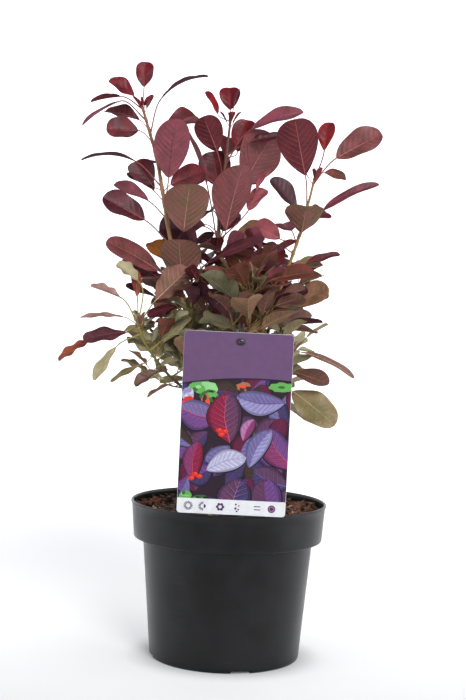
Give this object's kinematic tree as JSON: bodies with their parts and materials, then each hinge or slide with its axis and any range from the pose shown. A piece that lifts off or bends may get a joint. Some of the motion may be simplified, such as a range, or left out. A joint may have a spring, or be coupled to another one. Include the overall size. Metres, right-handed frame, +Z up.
{
  "type": "potted smoke bush",
  "caption": "Young purple-leaved smoke bush in a round black nursery pot of bark compost, with slender upright shoots and a hanging picture card on a stake.",
  "frame": {"origin": "centre of the flat underside of the pot, on the pot's axis", "axes": "+Z up along the pot's axis, -Y towards the side on which the picture card hangs, +X to that viewer's right"},
  "size_m": [0.2989, 0.2559, 0.5711],
  "materials": {
    "pot_plastic": "satin black, lightly scuffed",
    "bark_compost": "coarse chipped bark and peat",
    "trunk_bark": "young brown bark",
    "bough_bark": "smooth straw to tan bark",
    "purple_leaves": "matt wine and plum leaf",
    "olive_leaves": "matt olive and brown-red leaf",
    "card_print": "printed plastic card",
    "stake_plastic": "black plastic"
  },
  "bodies": {
    "root": {"pot": "pot_plastic", "soil": "bark_compost", "trunk": "trunk_bark", "bough_left": "bough_bark", "bough_centre": "bough_bark", "bough_right": "bough_bark", "bough_low_left": "bough_bark", "bough_low_right": "bough_bark", "bough_inner": "bough_bark", "bough_back_left": "bough_bark", "bough_back_right": "bough_bark", "bough_low_back": "bough_bark", "foliage_left": "purple_leaves", "foliage_centre": "purple_leaves", "foliage_right": "purple_leaves", "foliage_inner": "purple_leaves", "foliage_back_left": "purple_leaves", "foliage_back_right": "purple_leaves", "foliage_low_left": "olive_leaves", "foliage_low_right": "olive_leaves", "foliage_low_back": "olive_leaves", "label_card": "card_print", "label_stake": "stake_plastic"}
  },
  "joints": []
}
